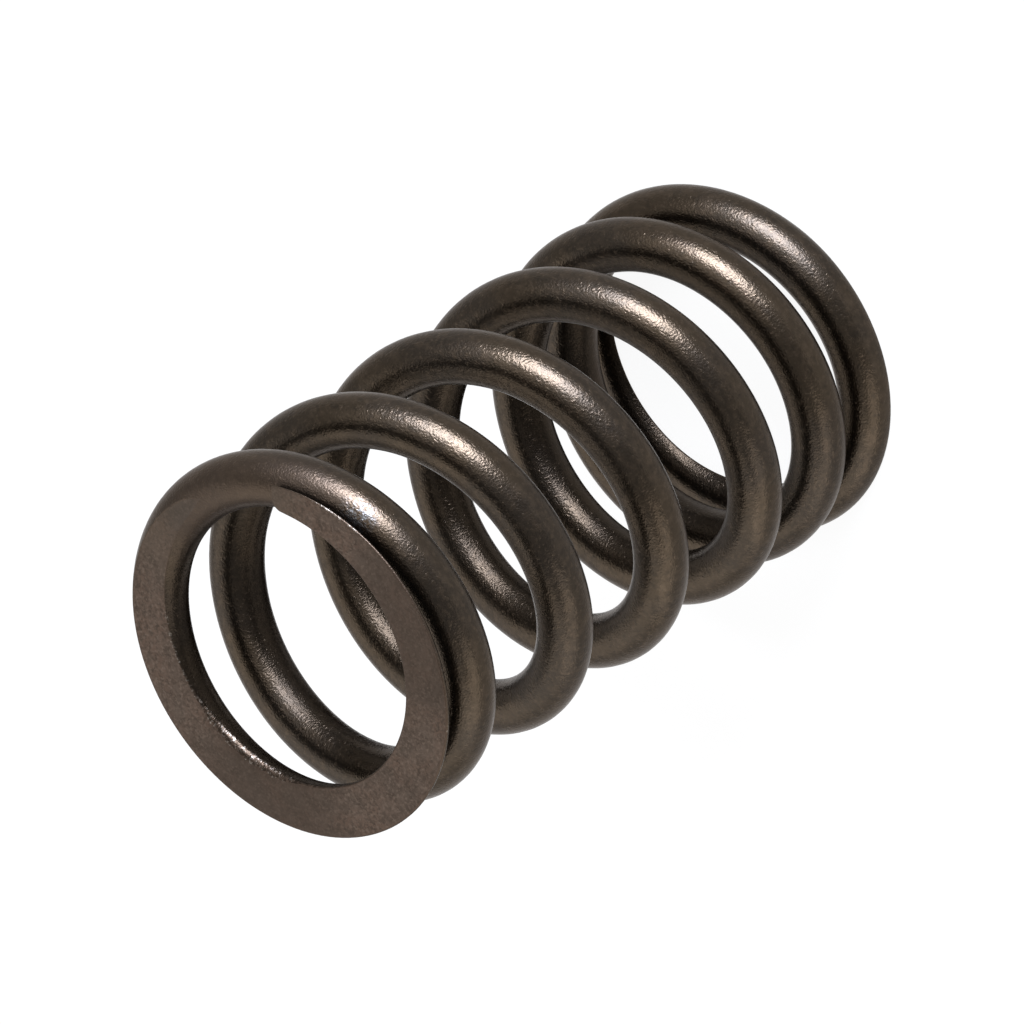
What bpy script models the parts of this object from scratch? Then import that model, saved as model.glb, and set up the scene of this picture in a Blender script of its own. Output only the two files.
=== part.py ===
"""Engine valve spring, in metres with +Z up.

One length of round spring wire is coiled right-handed and closed up at both ends, and both ends are
ground flat. It stands on the end that is wound close, which goes against the cylinder head, with the
coil's axis on Z and the bottom tip on +X.
"""

import math

import bmesh
import bpy
from mathutils import Vector

MM = 0.001

# The wire and the coil
WIRE_DIAMETER = 4.0 * MM
COIL_DIAMETER = 24.8 * MM  # to the middle of the wire
FREE_LENGTH = 53.5 * MM  # from one ground face to the other
TURNS = 6.77  # from tip to tip

# Both ends
CLOSED_GAP = 0.05 * MM  # air between a closed turn and the turn beside it
TIP_TUCK = 0.12 * MM  # how far a tip is drawn in towards the axis
TUCK_TURNS = 1.0  # over which the coil reaches its full diameter
DEBURR = 0.15 * MM  # width of the broken edge round a ground face

# The bottom end: it is closed, opens to close-wound turns that damp surge, then to the working turns
BOTTOM_TIP_THICKNESS = 0.38 * MM
BOTTOM_CLOSED_TURNS = 0.43
BOTTOM_OPENING_TURNS = 0.39
DAMPER_GAP = 2.4 * MM  # air between the close-wound turns
DAMPER_END_TURNS = 1.72
DAMPER_OPENING_TURNS = 0.95

# The top end: it is closed, then opens to the working turns
TOP_TIP_THICKNESS = 0.30 * MM
TOP_CLOSED_TURNS = 0.76
TOP_OPENING_TURNS = 0.74

# How finely the surface is divided
RINGS_PER_TURN = 40
SPANS_PER_SIDE = 8
WELD = 0.001 * MM
SHARP_ANGLE = math.radians(35)

# Dark oxide on peened steel
STEEL_COLOUR = (0.15, 0.125, 0.10, 1.0)
STEEL_ROUGHNESS = 0.42

WIRE_RADIUS = WIRE_DIAMETER / 2
COIL_RADIUS = COIL_DIAMETER / 2
CLOSED_PITCH = WIRE_DIAMETER + CLOSED_GAP
DAMPER_PITCH = WIRE_DIAMETER + DAMPER_GAP


def ease(share):
    """A smooth rise from 0 to 1 as share goes from 0 to 1."""
    share = min(max(share, 0.0), 1.0)
    return share * share * (3 - 2 * share)


def turns_held(turns, held, opening):
    """How many of these first turns are held back, counting a turn that is half released as half.

    The hold is full for the held turns and eases off over the opening, as 1 - ease does. This is the
    area under that curve.
    """
    share = min(max((turns - held) / opening, 0.0), 1.0)
    return min(turns, held) + opening * (share - share**3 + share**4 / 2)


def bottom_closed(turns):
    return turns_held(turns, BOTTOM_CLOSED_TURNS, BOTTOM_OPENING_TURNS)


def damped(turns):
    return turns_held(turns, DAMPER_END_TURNS, DAMPER_OPENING_TURNS)


def top_closed(turns_from_top):
    return turns_held(turns_from_top, TOP_CLOSED_TURNS, TOP_OPENING_TURNS)


def working_pitch():
    """The rise of one working turn: what the free length leaves when the ends have had their share."""
    total_rise = FREE_LENGTH + WIRE_DIAMETER - BOTTOM_TIP_THICKNESS - TOP_TIP_THICKNESS
    damper_rise = DAMPER_PITCH * (damped(TURNS) - bottom_closed(TURNS))
    closed_rise = CLOSED_PITCH * (bottom_closed(TURNS) + top_closed(TURNS))
    return (total_rise - damper_rise - closed_rise) / (TURNS - damped(TURNS) - top_closed(TURNS))


def wire_height(turns):
    """Height of the wire's middle, a number of turns from the bottom tip."""
    working = working_pitch()
    lost_to_damper = (working - DAMPER_PITCH) * damped(turns)
    lost_to_bottom = (DAMPER_PITCH - CLOSED_PITCH) * bottom_closed(turns)
    lost_to_top = (working - CLOSED_PITCH) * (top_closed(TURNS) - top_closed(TURNS - turns))
    rise = working * turns - lost_to_damper - lost_to_bottom - lost_to_top
    return BOTTOM_TIP_THICKNESS - WIRE_RADIUS + rise


def wire_radius_from_axis(turns):
    """Distance of the wire's middle from the coil's axis, a little less towards both tips."""
    bottom_tuck = 1 - ease(turns / TUCK_TURNS)
    top_tuck = 1 - ease((TURNS - turns) / TUCK_TURNS)
    return COIL_RADIUS - TIP_TUCK * (bottom_tuck + top_tuck)


def wire_centre(turns):
    angle = math.tau * turns
    radius = wire_radius_from_axis(turns)
    return Vector((radius * math.cos(angle), radius * math.sin(angle), wire_height(turns)))


def ground_corner(reach):
    """Where the wire's round meets a ground face that passes the wire's middle at this reach.

    It gives the corner's angle from the section's top, the half width of the flat and the broken
    edge's width. A face that clears the wire leaves no flat.
    """
    angle = math.acos(max(min(reach / WIRE_RADIUS, 1.0), -1.0))
    half_width = WIRE_RADIUS * math.sin(angle)
    return angle, half_width, min(DEBURR, half_width / 2)


def half_section(up_reach, down_reach):
    """The outer half of the wire's section from top to bottom, as (outward, up) offsets from its middle."""
    top_angle, top_width, top_break = ground_corner(up_reach)
    bottom_angle, bottom_width, bottom_break = ground_corner(down_reach)
    first = top_angle + top_break / WIRE_RADIUS
    last = math.pi - bottom_angle - bottom_break / WIRE_RADIUS
    points = [(top_width - top_break, WIRE_RADIUS * math.cos(top_angle))]
    for span in range(SPANS_PER_SIDE + 1):
        angle = first + (last - first) * span / SPANS_PER_SIDE
        points.append((WIRE_RADIUS * math.sin(angle), WIRE_RADIUS * math.cos(angle)))
    points.append((bottom_width - bottom_break, -WIRE_RADIUS * math.cos(bottom_angle)))
    return points


def ring_of_points(turns):
    """The wire's section at this turn, square to the wire and cut off at both ground faces."""
    step = 1 / RINGS_PER_TURN
    centre = wire_centre(turns)
    along = (wire_centre(turns + step) - wire_centre(turns - step)).normalized()
    outward = Vector((centre.x, centre.y, 0)).normalized()
    up = outward.cross(along)
    side = half_section((FREE_LENGTH - centre.z) / up.z, centre.z / up.z)
    outer = [centre + outward * x + up * y for x, y in side]
    inner = [centre - outward * x + up * y for x, y in reversed(side)]
    return outer + inner


def spring_mesh():
    """The wire as a skin over its sections, from the bottom tip to the top one."""
    shape = bmesh.new()
    ring_count = round(TURNS * RINGS_PER_TURN)
    rings = []
    for number in range(ring_count + 1):
        points = ring_of_points(TURNS * number / ring_count)
        rings.append([shape.verts.new(point) for point in points])
    for ring, next_ring in zip(rings, rings[1:]):
        for here in range(len(ring)):
            beside = here - 1
            shape.faces.new((ring[here], ring[beside], next_ring[beside], next_ring[here]))
    shape.faces.new(rings[0])
    shape.faces.new(reversed(rings[-1]))
    bmesh.ops.remove_doubles(shape, verts=shape.verts, dist=WELD)
    bmesh.ops.recalc_face_normals(shape, faces=shape.faces)
    mesh = bpy.data.meshes.new("valve_spring")
    shape.to_mesh(mesh)
    shape.free()
    mesh.shade_smooth()
    mesh.set_sharp_from_angle(angle=SHARP_ANGLE)
    return mesh


def steel():
    material = bpy.data.materials.new("oxidised_steel")
    material.use_nodes = True
    shader = material.node_tree.nodes["Principled BSDF"]
    shader.inputs["Base Color"].default_value = STEEL_COLOUR
    shader.inputs["Roughness"].default_value = STEEL_ROUGHNESS
    shader.inputs["Metallic"].default_value = 1.0
    return material


def build():
    for thing in list(bpy.data.objects):
        bpy.data.objects.remove(thing)
    spring = bpy.data.objects.new("valve_spring", spring_mesh())
    spring.data.materials.append(steel())
    bpy.context.scene.collection.objects.link(spring)


build()
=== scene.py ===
import math

import bmesh
import bpy
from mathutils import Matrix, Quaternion, Vector


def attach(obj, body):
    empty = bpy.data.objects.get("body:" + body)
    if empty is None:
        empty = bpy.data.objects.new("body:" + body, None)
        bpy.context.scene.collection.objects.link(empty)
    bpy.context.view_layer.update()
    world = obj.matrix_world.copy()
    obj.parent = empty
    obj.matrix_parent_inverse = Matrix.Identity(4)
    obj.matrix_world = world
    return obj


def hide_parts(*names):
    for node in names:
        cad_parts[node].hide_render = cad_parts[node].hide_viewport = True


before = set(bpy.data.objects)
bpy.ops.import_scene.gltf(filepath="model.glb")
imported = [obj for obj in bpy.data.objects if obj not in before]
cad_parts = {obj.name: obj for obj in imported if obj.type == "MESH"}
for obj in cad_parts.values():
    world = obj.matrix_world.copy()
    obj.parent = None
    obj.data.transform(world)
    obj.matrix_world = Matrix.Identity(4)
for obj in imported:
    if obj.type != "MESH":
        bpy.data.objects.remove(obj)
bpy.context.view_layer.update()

# The valve spring.
# One length of chrome silicon wire, wound cold, stress relieved and shot peened, which leaves a dark
# brown oxide full of fine dimples. Both ends are ground flat afterwards and their edges broken.

MM = 0.001

WIRE_RADIUS = 2.0 * MM
COIL_RADIUS = 12.4 * MM  # to the middle of the wire
FREE_LENGTH = 53.5 * MM
TURNS = 6.77
TURN_LENGTH = math.tau * COIL_RADIUS

# The pitch, from the bottom end to the top one
BOTTOM_TIP_THICKNESS = 0.38 * MM
BOTTOM_CLOSED_TURNS = 0.43
BOTTOM_OPENING_TURNS = 0.39
DAMPER_PITCH = 6.4 * MM
DAMPER_END_TURNS = 1.72
DAMPER_OPENING_TURNS = 0.95
TOP_TIP_THICKNESS = 0.30 * MM
TOP_CLOSED_TURNS = 0.76
TOP_OPENING_TURNS = 0.74
CLOSED_PITCH = 4.05 * MM

# How finely the surface is divided
RINGS_PER_TURN = 144
RING_COUNT = round(TURNS * RINGS_PER_TURN)
RING_STEP = TURNS / RING_COUNT
SIDE_SPANS = 18
RIM_SPANS = 6
TIP_SPANS = 6
WELD = 0.0004 * MM
SHARP_ANGLE = math.radians(40)

# Both tips
TIP_TUCK = 0.12 * MM  # how far a tip is drawn in towards the axis
TUCK_TURNS = 1.0
TIP_CORNER = 0.8 * MM  # the inner corner of a tip is rounded over this length
TIP_NARROWING = 0.35  # the share of the tip's inner half that is left at its end
TIP_EDGE = 0.14 * MM  # how far the wear on the tip's end reaches along the wire

# The broken edges round the ground faces. Places along them are in turns from a tip. Where there
# are four, something starts at the first, is full between the middle two and ends at the last.
RIM_RADIUS = 0.15 * MM
FULL_RIM_THICKNESS = 1.2 * MM  # a thinner part of the wire has a smaller broken edge
RIM_FADE = 0.22 * MM  # how far the wear on a broken edge reaches over the ground face
WORN_CORNER = (0.4, 1.0)  # the edge's angle from the section's top, in radians: unworn and worn
RUBBED_TURNS = (0.030, 0.050, 0.085, 0.110)  # where the outer edge is rubbed bright
RUBBED_RIM_RADIUS = 0.18 * MM
FILED_TURNS = (0.40, 0.54, 0.68, 0.86)  # where the inner edge is filed down
FILED_DROP = 0.07 * MM
FILED_REACH = 0.36 * MM
SCALE_TURNS = (0.40, 0.54, 0.64, 0.72)  # where the filed edge keeps some dark scale
BROAD_RIM_TURNS = (0.49, 0.54, 0.60, 0.67)
BROAD_RIM_RADIUS = 0.52 * MM
BRIGHT_TURNS = (0.64, 0.70, 0.86, 0.95)
SOFT_RIM_TURNS = (0.80, 0.93)  # where the flat begins, which the wheel only brushed
SOFT_RIM_RADIUS = 0.55 * MM

# How worn an edge is, from 0 to 1, and how much of its dark scale is lost
TIP_WEAR = 0.55
PAST_TIP_WEAR = 0.30
PAST_TIP_TURNS = (0.02, 0.05)
RUBBED_WEAR = 0.45
INNER_WEAR = 0.85
FILED_WEAR = 0.15
BROAD_WEAR = 0.08
BRIGHT_WEAR = 0.15
SCALE_LOSS = 0.45

# How much of its own tone a ground face has, from 0 to 1
FULL_GRIND = 1.3 * MM  # half the width of a flat that has lost all its oxide
TIP_TONE = 0.6
TIP_TONE_TURNS = 0.05
START_TONE_LOSS = 0.45
START_TONE_TURNS = (0.72, 0.88)
BRUSHED_TURNS = (0.78, 0.90, 1.00, 1.16)  # where the round beside the flat is brushed paler
BRUSHED_SHARE = 0.42
BRUSHED_MIDDLE = 0.35  # how much of that reaches the middle of the wire's side


def ease(share):
    share = min(max(share, 0.0), 1.0)
    return share * share * (3 - 2 * share)


def rise(place, start, full):
    """From 0 at the start to 1 at full, eased."""
    return ease((place - start) / (full - start))


def stretch(place, limits):
    """1 between the two inner limits, easing to 0 at the outer ones."""
    start, full, fading, end = limits
    return rise(place, start, full) * rise(place, end, fading)


def turns_held(turns, held, opening):
    """How many of the first turns keep their own pitch, which they lose over the opening."""
    share = min(max((turns - held) / opening, 0.0), 1.0)
    return min(turns, held) + opening * (share - share**3 + share**4 / 2)


def bottom_closed(turns):
    return turns_held(turns, BOTTOM_CLOSED_TURNS, BOTTOM_OPENING_TURNS)


def damped(turns):
    return turns_held(turns, DAMPER_END_TURNS, DAMPER_OPENING_TURNS)


def top_closed(turns_from_top):
    return turns_held(turns_from_top, TOP_CLOSED_TURNS, TOP_OPENING_TURNS)


total_rise = FREE_LENGTH + 2 * WIRE_RADIUS - BOTTOM_TIP_THICKNESS - TOP_TIP_THICKNESS
damper_rise = DAMPER_PITCH * (damped(TURNS) - bottom_closed(TURNS))
closed_rise = CLOSED_PITCH * (bottom_closed(TURNS) + top_closed(TURNS))
working_turns = TURNS - damped(TURNS) - top_closed(TURNS)
working_pitch = (total_rise - damper_rise - closed_rise) / working_turns


def wire_centre(turns):
    lost_to_damper = (working_pitch - DAMPER_PITCH) * damped(turns)
    lost_to_bottom = (DAMPER_PITCH - CLOSED_PITCH) * bottom_closed(turns)
    lost_to_top = (working_pitch - CLOSED_PITCH) * (top_closed(TURNS) - top_closed(TURNS - turns))
    height = working_pitch * turns - lost_to_damper - lost_to_bottom - lost_to_top
    height += BOTTOM_TIP_THICKNESS - WIRE_RADIUS
    tucks = 2 - ease(turns / TUCK_TURNS) - ease((TURNS - turns) / TUCK_TURNS)
    radius = COIL_RADIUS - TIP_TUCK * tucks
    angle = math.tau * turns
    return Vector((radius * math.cos(angle), radius * math.sin(angle), height))


def ground_side(reach, rim_radius, filed):
    """The points from the middle of a ground face to the end of its broken edge.

    Each is (outward, up, worn, ground). Reach is how far the face passes from the wire's middle. It
    gives the angle where the round wire begins too. A face that clears the wire leaves all of these
    points in one place. Where the edge is filed, the face slopes down to it.
    """
    rim = rim_radius * min(max((WIRE_RADIUS + reach) / FULL_RIM_THICKNESS, 0.0), 1.0)
    low_reach = reach - FILED_DROP * filed
    corner = math.acos(max(min((low_reach - rim) / (WIRE_RADIUS - rim), 1.0), -1.0))
    border = (WIRE_RADIUS - rim) * math.sin(corner)
    height = (WIRE_RADIUS - rim) * math.cos(corner) + rim
    worn = rise(corner, *WORN_CORNER)
    fade = RIM_FADE + (FILED_REACH - RIM_FADE) * filed
    face = min(reach, WIRE_RADIUS)
    ground = ease(border / FULL_GRIND)
    points = [(0.0, face, 0.0, ground), (max(border - fade, border / 2), face, 0.0, ground)]
    for span in range(RIM_SPANS + 1):
        share = span / RIM_SPANS
        x = border + rim * math.sin(corner * share)
        y = height - rim + rim * math.cos(corner * share)
        points.append((x, y, worn, ground * (1 - share)))
    return points, corner


def half_section(up_reach, down_reach, rim_radius, filed):
    """One half of the wire's section from top to bottom."""
    top, first = ground_side(up_reach, rim_radius, filed)
    bottom, last = ground_side(down_reach, rim_radius, filed)
    side = []
    for span in range(1, SIDE_SPANS):
        angle = first + (math.pi - last - first) * span / SIDE_SPANS
        side.append((WIRE_RADIUS * math.sin(angle), WIRE_RADIUS * math.cos(angle), 0.0, 0.0))
    return top + side + [(x, -y, worn, ground) for x, y, worn, ground in reversed(bottom)]


def worn_section(from_tip, up_reach, down_reach):
    """The whole section, as (outward, up, worn, dark scale, ground) points."""
    rubbed = stretch(from_tip, RUBBED_TURNS)
    filed = stretch(from_tip, FILED_TURNS)
    broad = stretch(from_tip, BROAD_RIM_TURNS)
    soft = rise(from_tip, *SOFT_RIM_TURNS)
    outer_rim = RIM_RADIUS + (RUBBED_RIM_RADIUS - RIM_RADIUS) * rubbed
    inner_rim = RIM_RADIUS + (BROAD_RIM_RADIUS - RIM_RADIUS) * broad
    outer_rim += (SOFT_RIM_RADIUS - RIM_RADIUS) * soft
    inner_rim += (SOFT_RIM_RADIUS - RIM_RADIUS) * soft
    outer = half_section(up_reach, down_reach, outer_rim, 0.0)
    inner = half_section(up_reach, down_reach, inner_rim, filed)

    past_corner = min(from_tip * TURN_LENGTH / TIP_CORNER, 1.0)
    narrowed = TIP_NARROWING + (1 - TIP_NARROWING) * math.sqrt(1 - (1 - past_corner) ** 2)
    outer_wear = TIP_WEAR + PAST_TIP_WEAR * rise(from_tip, *PAST_TIP_TURNS) + RUBBED_WEAR * rubbed
    inner_wear = INNER_WEAR + FILED_WEAR * filed + BROAD_WEAR * broad
    inner_wear += BRIGHT_WEAR * stretch(from_tip, BRIGHT_TURNS)
    scale_left = stretch(from_tip, SCALE_TURNS) * (1 - SCALE_LOSS * broad)
    points = [(x, y, worn * outer_wear, 0.0, ground) for x, y, worn, ground in outer]
    for x, y, worn, ground in inner[-2:0:-1]:
        points.append((-x * narrowed, y, worn * inner_wear, worn * scale_left, ground))
    return points


def ring_turns():
    """Where the wire has a section: at even steps, and at closer ones over both tips' corners."""
    turns = {number * RING_STEP for number in range(RING_COUNT + 1)}
    for span in range(1, TIP_SPANS):
        from_end = TIP_CORNER / TURN_LENGTH * (1 - math.cos(math.pi / 2 * span / TIP_SPANS))
        turns |= {from_end, TURNS - from_end}
    return sorted(turns)


def spring_mesh():
    shape = bmesh.new()
    unwound = shape.verts.layers.float_vector.new("unwound")
    rim_wear = shape.verts.layers.float.new("rim_wear")
    ground_share = shape.verts.layers.float.new("ground_share")
    edge_scale = shape.verts.layers.float.new("edge_scale")
    rings = []
    for turns in ring_turns():
        centre = wire_centre(turns)
        along = (wire_centre(turns + RING_STEP) - wire_centre(turns - RING_STEP)).normalized()
        outward = Vector((centre.x, centre.y, 0)).normalized()
        up = outward.cross(along)
        from_tip = min(turns, TURNS - turns)
        face_side = 1 if turns > TURNS / 2 else -1
        at_end = 1 - ease(from_tip * TURN_LENGTH / TIP_EDGE)
        own_tone = TIP_TONE + (1 - TIP_TONE) * ease(from_tip / TIP_TONE_TURNS)
        own_tone *= 1 - START_TONE_LOSS * rise(from_tip, *START_TONE_TURNS)
        paler = BRUSHED_SHARE * stretch(from_tip, BRUSHED_TURNS)
        ring = []
        section = worn_section(from_tip, (FREE_LENGTH - centre.z) / up.z, centre.z / up.z)
        for x, y, worn, scale_left, ground in section:
            vert = shape.verts.new(centre + outward * x + up * y)
            brushed = paler * ease(BRUSHED_MIDDLE + face_side * y / WIRE_RADIUS)
            vert[unwound] = Vector((TURN_LENGTH * turns, x, y)) / MM
            vert[rim_wear] = max(worn, at_end)
            vert[ground_share] = max(ground * own_tone, brushed)
            vert[edge_scale] = scale_left
            ring.append(vert)
        rings.append(ring)
    half = len(rings[0]) // 2
    ground_columns = {0, 1, half - 2, half - 1}  # the flats on top and at the bottom, to their edges
    for ring, next_ring in zip(rings, rings[1:]):
        for here in range(len(ring)):
            after = (here + 1) % len(ring)
            face = shape.faces.new((ring[after], ring[here], next_ring[here], next_ring[after]))
            column = here if here < half else 2 * half - 1 - here
            face.material_index = 1 if column in ground_columns else 0
    shape.faces.new(rings[0])
    shape.faces.new(reversed(rings[-1]))
    bmesh.ops.remove_doubles(shape, verts=shape.verts, dist=WELD)
    bmesh.ops.recalc_face_normals(shape, faces=shape.faces)
    mesh = bpy.data.meshes.new("spring_wire")
    shape.to_mesh(mesh)
    shape.free()
    mesh.shade_smooth()
    mesh.set_sharp_from_angle(angle=SHARP_ANGLE)
    return mesh


class Varying:
    """A value that changes over a surface: one output of a node. Sums on it add Math nodes."""

    def __init__(self, tree, socket=None):
        self.tree = tree
        self.socket = socket

    def add(self, kind, settings, sockets, output=0):
        node = self.tree.nodes.new(kind)
        for name, value in settings.items():
            setattr(node, name, value)
        for name, value in sockets.items():
            if isinstance(value, Varying):
                self.tree.links.new(value.socket, node.inputs[name])
            else:
                node.inputs[name].default_value = value
        return Varying(self.tree, node.outputs[output] if node.outputs else None)

    def sum(self, operation, first, second):
        return self.add("ShaderNodeMath", {"operation": operation}, {0: first, 1: second})

    def __add__(self, other):
        return self.sum("ADD", self, other)

    def __mul__(self, other):
        return self.sum("MULTIPLY", self, other)

    def __sub__(self, other):
        return self.sum("SUBTRACT", self, other)

    def __rsub__(self, other):
        return self.sum("SUBTRACT", other, self)

    __radd__ = __add__
    __rmul__ = __mul__

    def between(self, low, high):
        """0 at low and below, 1 at high and above, eased."""
        settings = {"interpolation_type": "SMOOTHSTEP"}
        sockets = {"Value": self, "From Min": low, "From Max": high}
        return self.add("ShaderNodeMapRange", settings, sockets)

    def mix(self, first, second):
        """The first colour where this is 0, the second where it is 1."""
        sockets = {0: self, 6: first, 7: second}
        return self.add("ShaderNodeMix", {"data_type": "RGBA"}, sockets, output=2)


def new_finish(name):
    material = bpy.data.materials.new(name)
    material.use_nodes = True
    material.node_tree.nodes.clear()
    return material, Varying(material.node_tree)


def finished(finish, surface):
    finish.add("ShaderNodeOutputMaterial", {}, {"Surface": surface})


def stored(finish, name, output="Fac"):
    """What the mesh stores at its points under this name."""
    return finish.add("ShaderNodeAttribute", {"attribute_name": name}, {}, output=output)


def noise(finish, place, per_mm, detail=2.0, roughness=0.5):
    sockets = {"Vector": place, "Scale": per_mm, "Detail": detail, "Roughness": roughness}
    return finish.add("ShaderNodeTexNoise", {}, sockets)


def oxide_patches(finish, place):
    return noise(finish, place, per_mm=0.16).between(0.38, 0.62)


def worn_bare(finish, place):
    """Where the wear on an edge goes through to the steel, with a ragged border."""
    rim_wear = stored(finish, "rim_wear")
    return (rim_wear * 0.5 + noise(finish, place, per_mm=4.5) - 0.5).between(0.55, 0.85)


def metal(finish, tone, roughness, relief, relief_depth, edge_tint=(1.0, 1.0, 1.0, 1.0)):
    sockets = {"Strength": 1.0, "Distance": relief_depth, "Height": relief}
    normal = finish.add("ShaderNodeBump", {}, sockets)
    sockets = {
        "Base Color": tone,
        "Metallic": 1.0,
        "Roughness": roughness,
        "Specular Tint": edge_tint,
        "Normal": normal,
    }
    finished(finish, finish.add("ShaderNodeBsdfPrincipled", {}, sockets))


OXIDE_BROWN = (0.050, 0.038, 0.027, 1.0)
OXIDE_GREY = (0.041, 0.033, 0.026, 1.0)
OXIDE_PALE = (0.076, 0.057, 0.041, 1.0)
OXIDE_DARK = (0.026, 0.022, 0.018, 1.0)
BARE_STEEL = (0.27, 0.24, 0.21, 1.0)
INSIDE_SHADE_AND_SCALE = (0.0145, 0.0107, 0.0076, 1.0)  # painted shade on the coil's inner side, darker than its oxide; the filed edges' dark scale uses it too
INSIDE_SHADE_SHARE = 0.56
BESIDE_FACE = (0.070, 0.049, 0.037, 1.0)
EDGE_TINT = (0.78, 0.75, 0.73, 1.0)  # the oxide is less bright than bare metal seen edge on
PEENED_DEPTH = 0.026 * MM
OXIDE_ROUGHNESS = 0.24
SCUFF_PLACE = (443.6, 1.05, 1.70)  # mm along the wire, outward and up: rubbed, on the second turn
SCUFF_REACH = (0.3, 1.7)  # mm from that place: rubbed through, and untouched
SCUFFED_STEEL = (0.125, 0.130, 0.135, 1.0)

oxidised_steel, oxide = new_finish("oxidised_steel")
place = stored(oxide, "unwound", output="Vector")
near_face = stored(oxide, "ground_share")
outward = oxide.add("ShaderNodeSeparateXYZ", {}, {0: place}, output="Y")
inside = (0 - outward).between(0.3, 1.9)

patches = oxide_patches(oxide, place)
mottle = noise(oxide, place, per_mm=1.1, detail=3.0)
pale_spots = noise(oxide, place, per_mm=3.4, detail=2.0).between(0.46, 0.72)
dark_spots = noise(oxide, place, per_mm=2.1, detail=3.0).between(0.50, 0.75)
scuff_spots = noise(oxide, place, per_mm=4.5, detail=2.0).between(0.40, 0.62)
scale_spots = noise(oxide, place, per_mm=3.0).between(0.44, 0.56)
from_scuff = oxide.add(
    "ShaderNodeVectorMath", {"operation": "DISTANCE"}, {0: place, 1: SCUFF_PLACE}, output="Value"
)

tone = patches.mix(OXIDE_BROWN, OXIDE_GREY)
tone = (mottle.between(0.45, 0.75) * 0.45).mix(tone, OXIDE_PALE)
tone = (pale_spots * 0.50).mix(tone, OXIDE_PALE)
tone = (dark_spots * 0.50).mix(tone, OXIDE_DARK)
# Painted shade: the oxide on the coil's inner side is darkened.
tone = (inside * INSIDE_SHADE_SHARE).mix(tone, INSIDE_SHADE_AND_SCALE)
tone = ((1 - from_scuff.between(*SCUFF_REACH)) * scuff_spots).mix(tone, SCUFFED_STEEL)
tone = near_face.mix(tone, BESIDE_FACE)
tone = worn_bare(oxide, place).mix(tone, BARE_STEEL)
tone = (stored(oxide, "edge_scale") * scale_spots).mix(tone, INSIDE_SHADE_AND_SCALE)

dents = noise(oxide, place, per_mm=3.4).between(0.56, 0.74) * (0.36 + inside * 0.2)
peening = noise(oxide, place, per_mm=6.5, detail=1.0) + dents
sheen = OXIDE_ROUGHNESS + patches * 0.04 + mottle * 0.05 + near_face * 0.18
metal(oxide, tone, sheen, peening, PEENED_DEPTH, EDGE_TINT)

GROUND_BROWN = (0.081, 0.0535, 0.0392, 1.0)
GROUND_GREY = (0.060, 0.0445, 0.0345, 1.0)
GROUND_DARK = (0.041, 0.0292, 0.0215, 1.0)
GROUND_PALE = (0.116, 0.0855, 0.0665, 1.0)
GROUND_DEPTH = 0.014 * MM
GROUND_ROUGHNESS = 0.32
DARKER_GRIND = (486.0, 513.0)  # mm along the wire: two places that the wheel left darker
DARKER_GRIND_REACH = (3.0, 70.0)  # squares of how far it is full and how far it goes, in mm
DARKER_GRIND_SHARE = 0.6

ground_steel, ground = new_finish("ground_steel")
ground_place = stored(ground, "unwound", output="Vector")
ground_share = stored(ground, "ground_share")
along = ground.add("ShaderNodeSeparateXYZ", {}, {0: ground_place}, output="X")

blotches = noise(ground, ground_place, per_mm=0.35, detail=3.0).between(0.35, 0.65)
grain = noise(ground, ground_place, per_mm=3.0, detail=4.0, roughness=0.75)
fine_pale = noise(ground, ground_place, per_mm=4.2, detail=3.0).between(0.48, 0.72)
broad_pale = noise(ground, ground_place, per_mm=0.9, detail=2.0).between(0.25, 0.85)

ground_tone = blotches.mix(GROUND_BROWN, GROUND_GREY)
ground_tone = grain.between(0.38, 0.60).mix(GROUND_DARK, ground_tone)
ground_tone = (fine_pale * 0.7).mix(ground_tone, GROUND_PALE)
ground_tone = (broad_pale * 0.38).mix(ground_tone, GROUND_PALE)
for middle in DARKER_GRIND:
    away = along - middle
    darker = (1 - (away * away).between(*DARKER_GRIND_REACH)) * DARKER_GRIND_SHARE
    ground_tone = darker.mix(ground_tone, GROUND_DARK)
kept_oxide = oxide_patches(ground, ground_place).mix(OXIDE_BROWN, OXIDE_GREY)
ground_tone = ground_share.mix(kept_oxide, ground_tone)
ground_tone = worn_bare(ground, ground_place).mix(ground_tone, BARE_STEEL)

ground_sheen = GROUND_ROUGHNESS + ground_share * 0.16 + grain * 0.08
metal(ground, ground_tone, ground_sheen, grain, GROUND_DEPTH)

spring = bpy.data.objects.new("spring_wire", spring_mesh())
spring.data.materials.append(oxidised_steel)
spring.data.materials.append(ground_steel)
bpy.context.scene.collection.objects.link(spring)
flat_faces = spring.modifiers.new("flat_faces", "WEIGHTED_NORMAL")
flat_faces.keep_sharp = True
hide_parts("valve_spring")
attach(spring, "root")

# The floor.
# A plain pale sheet that the spring stands on, in the open. It is white to the camera and in the
# steel, and keeps the spring's shadow.

FLOOR_REACH = 3.0
FLOOR_PALE = (0.92, 0.92, 0.92, 1.0)
FLOOR_GLOW = 0.92  # the share of the floor that shows plain white
FLOOR_DROP = 0.02 * MM

floor_mesh = bpy.data.meshes.new("floor")
floor_corners = [
    (-FLOOR_REACH, -FLOOR_REACH, 0),
    (FLOOR_REACH, -FLOOR_REACH, 0),
    (FLOOR_REACH, FLOOR_REACH, 0),
    (-FLOOR_REACH, FLOOR_REACH, 0),
]
floor_mesh.from_pydata(floor_corners, [], [(0, 1, 2, 3)])
floor = bpy.data.objects.new("floor", floor_mesh)
floor.location.z = -FLOOR_DROP
bpy.context.scene.collection.objects.link(floor)
pale_sheet, sheet = new_finish("pale_sheet")
camera_ray = sheet.add("ShaderNodeLightPath", {}, {}, output="Is Camera Ray")
glossy_ray = sheet.add("ShaderNodeLightPath", {}, {}, output="Is Glossy Ray")
through_ray = sheet.add("ShaderNodeLightPath", {}, {}, output="Is Transmission Ray")
lit = sheet.add("ShaderNodeBsdfDiffuse", {}, {"Color": FLOOR_PALE})
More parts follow.
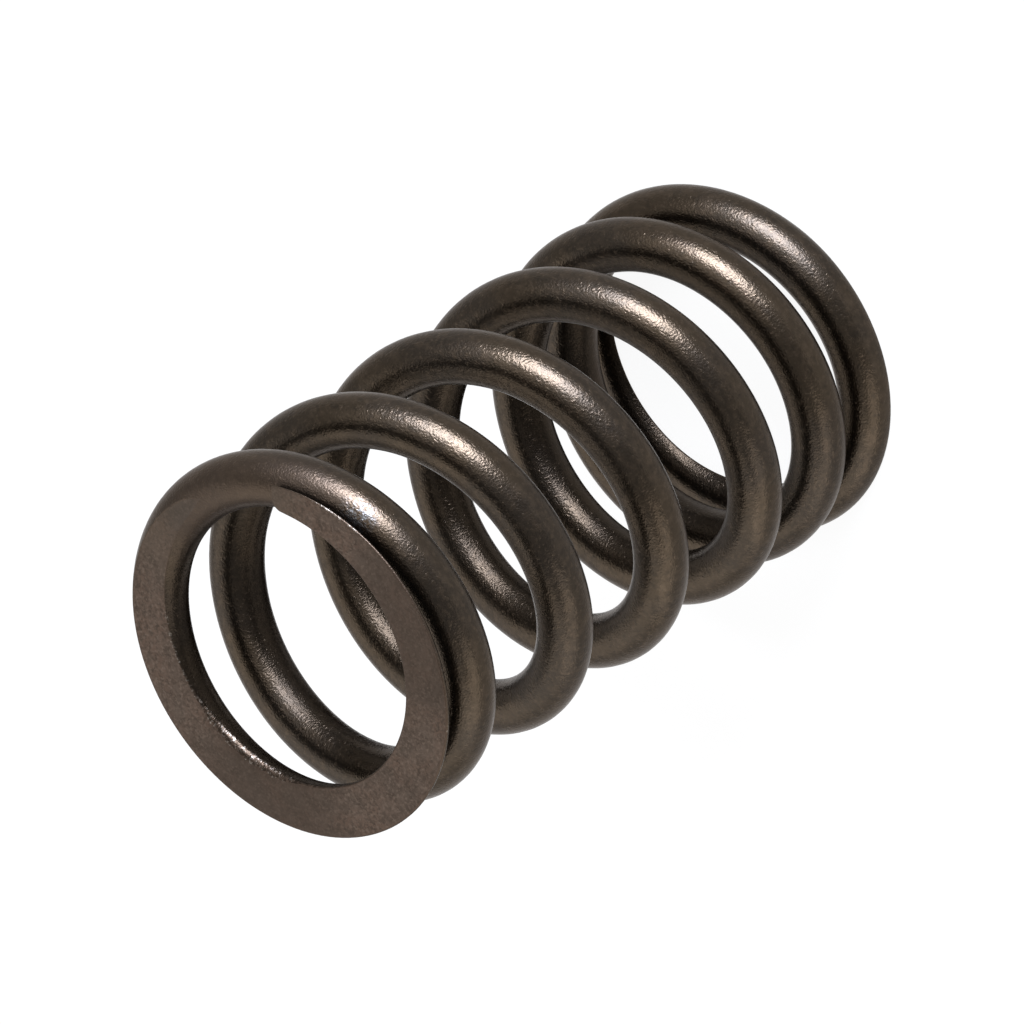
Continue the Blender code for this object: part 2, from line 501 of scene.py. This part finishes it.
white = sheet.add("ShaderNodeEmission", {}, {"Strength": 1.0})
seen = (camera_ray + glossy_ray + through_ray) * FLOOR_GLOW
finished(sheet, sheet.add("ShaderNodeMixShader", {}, {0: seen, 1: lit, 2: white}))
floor_mesh.materials.append(pale_sheet)

# The studio.
# Pale grey walls and a dimmer ceiling over the camera. The main softbox stands low in front of the
# spring, and three weak, wide ones fill from above, from behind and from the side.

WALL = (0.74, 0.74, 0.74, 1.0)
CEILING = (0.50, 0.50, 0.50, 1.0)
CEILING_MIDDLE = Vector((-0.35, -0.35, 0.87)).normalized()
CEILING_REACH = (0.30, 0.65)  # cosines of the angle from its middle: where it starts and is full
CEILING_HEIGHT = (0.05, 0.35)  # the same by height, from 0 level to 1 straight up

studio = bpy.data.worlds.new("studio")
studio.use_nodes = True
studio.node_tree.nodes.clear()
air = Varying(studio.node_tree)
direction = air.add("ShaderNodeTexCoord", {}, {}, output="Generated")
height = air.add("ShaderNodeSeparateXYZ", {}, {0: direction}, output="Z")
towards_middle = air.add(
    "ShaderNodeVectorMath",
    {"operation": "DOT_PRODUCT"},
    {0: direction, 1: CEILING_MIDDLE},
    output="Value",
)
dim = towards_middle.between(*CEILING_REACH) * height.between(*CEILING_HEIGHT)
shell = air.add("ShaderNodeBackground", {}, {"Color": dim.mix(WALL, CEILING), "Strength": 1.0})
air.add("ShaderNodeOutputWorld", {}, {"Surface": shell})
bpy.context.scene.world = studio

SPRING_MIDDLE = Vector((0, 0, FREE_LENGTH / 2))
LAMP_DISTANCE = 1.2


def softbox(name, towards, size, watts, colour):
    lamp = bpy.data.lights.new(name, "AREA")
    lamp.shape = "RECTANGLE"
    lamp.size, lamp.size_y = size
    lamp.energy = watts
    lamp.color = colour
    box = bpy.data.objects.new(name, lamp)
    away = Vector(towards).normalized()
    box.location = SPRING_MIDDLE + away * LAMP_DISTANCE
    box.rotation_mode = "QUATERNION"
    box.rotation_quaternion = (-away).to_track_quat("-Z", "Y")
    box.visible_camera = False
    bpy.context.scene.collection.objects.link(box)


softbox("front_softbox", (-0.092, -0.942, 0.322), (0.62, 0.70), 46.0, (0.91, 0.99, 1.18))
softbox("upper_softbox", (0.10, -0.69, 0.72), (1.2, 1.0), 5.0, (1.0, 1.0, 1.0))
softbox("rear_softbox", (0.230, 0.707, 0.669), (2.4, 1.1), 9.0, (1.0, 1.0, 1.0))
softbox("side_softbox", (-0.771, 0.602, 0.208), (1.4, 0.9), 6.5, (1.0, 0.97, 0.94))

# The camera.
# It looks down on the spring's top end from a little over half a metre, and is turned on its side,
# so that the spring lies across the picture.

AIM = Vector((-0.0001, 0.0007, 0.0273))
CAMERA_AZIMUTH = math.radians(-133.232)
CAMERA_ELEVATION = math.radians(43.762)
CAMERA_ROLL = math.radians(123.732)
CAMERA_DISTANCE = 0.6474
SENSOR_WIDTH = 36.0
LENS = 316.167

camera_data = bpy.data.cameras.new("camera")
camera_data.sensor_width = SENSOR_WIDTH
camera_data.lens = LENS
camera_data.clip_start = 0.05
camera_data.clip_end = 50.0
camera = bpy.data.objects.new("camera", camera_data)
back = Vector((
    math.cos(CAMERA_AZIMUTH) * math.cos(CAMERA_ELEVATION),
    math.sin(CAMERA_AZIMUTH) * math.cos(CAMERA_ELEVATION),
    math.sin(CAMERA_ELEVATION),
))
camera.location = AIM + back * CAMERA_DISTANCE
camera.rotation_mode = "QUATERNION"
upright = (-back).to_track_quat("-Z", "Y")
camera.rotation_quaternion = upright @ Quaternion((0, 0, 1), -CAMERA_ROLL)
bpy.context.scene.collection.objects.link(camera)
bpy.context.scene.camera = camera
bpy.context.scene.view_settings.view_transform = "Standard"
